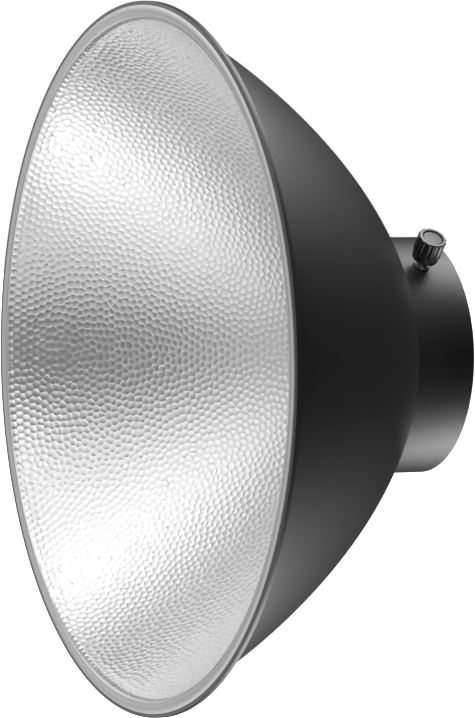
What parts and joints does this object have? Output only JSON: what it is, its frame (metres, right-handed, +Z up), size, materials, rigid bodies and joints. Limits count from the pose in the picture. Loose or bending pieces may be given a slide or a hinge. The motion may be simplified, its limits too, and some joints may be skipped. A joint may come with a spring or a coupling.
{
  "type": "studio flash reflector",
  "caption": "Deep round flash reflector dish with a pebbled silver bowl, a satin black shell, a rolled rim and a rear collar that a knobbed screw clamps to a flash head.",
  "frame": {"origin": "centre of the mounting collar's rear opening, where the flash head goes in", "axes": "+Y along the optical axis, out of the collar towards the flash head, so the dish opens towards -Y; +Z up; the clamp screw stands 40 degrees from up towards +X"},
  "size_m": [0.35, 0.1563, 0.35],
  "materials": {
    "satin_black_paint": "satin black powder coat",
    "pebbled_silver": "bright anodised, pebbled inside and smooth at the rim",
    "collar_black_paint": "satin black powder coat",
    "stainless_steel": "brushed",
    "rivet_aluminium": "plain",
    "nickel_plate": "bright nickel",
    "zinc_plated_steel": "bright zinc",
    "knob_plastic": "moulded, fine grain",
    "cap_plastic": "moulded, matt",
    "facing_rubber": "matt",
    "grip_pad_felt": "black felt"
  },
  "bodies": {
    "reflector": {"outer_shell": "satin_black_paint", "inner_reflector": "pebbled_silver", "mounting_collar": "collar_black_paint", "neck_ring": "stainless_steel", "neck_rivet_1": "rivet_aluminium", "neck_rivet_2": "rivet_aluminium", "neck_rivet_3": "rivet_aluminium", "neck_rivet_4": "rivet_aluminium", "neck_rivet_5": "rivet_aluminium", "neck_rivet_6": "rivet_aluminium", "clamp_bush": "nickel_plate", "grip_pad_lower": "grip_pad_felt", "grip_pad_side": "grip_pad_felt"},
    "clamp_shoe": {"shoe_plate": "zinc_plated_steel", "shoe_facing": "facing_rubber"},
    "clamp_screw": {"clamp_bolt": "zinc_plated_steel", "neck_sleeve": "nickel_plate", "clamp_knob": "knob_plastic", "knob_cap": "cap_plastic", "shoe_clip": "stainless_steel"}
  },
  "joints": [
    {"name": "shoe_slide", "type": "slide", "parent": "reflector", "child": "clamp_shoe", "axis": [0.6428, 0, 0.766], "range_m": [-0.0008, 0.004]},
    {"name": "knob_turn", "type": "hinge", "parent": "clamp_shoe", "child": "clamp_screw", "pos_m": [0, -0.0184, 0], "axis": [0.6428, 0, 0.766], "range_deg": [-360, 1800]}
  ],
  "couplings": [
    {"joint": "knob_turn", "follows": "shoe_slide", "rad_per_m": 7854}
  ]
}
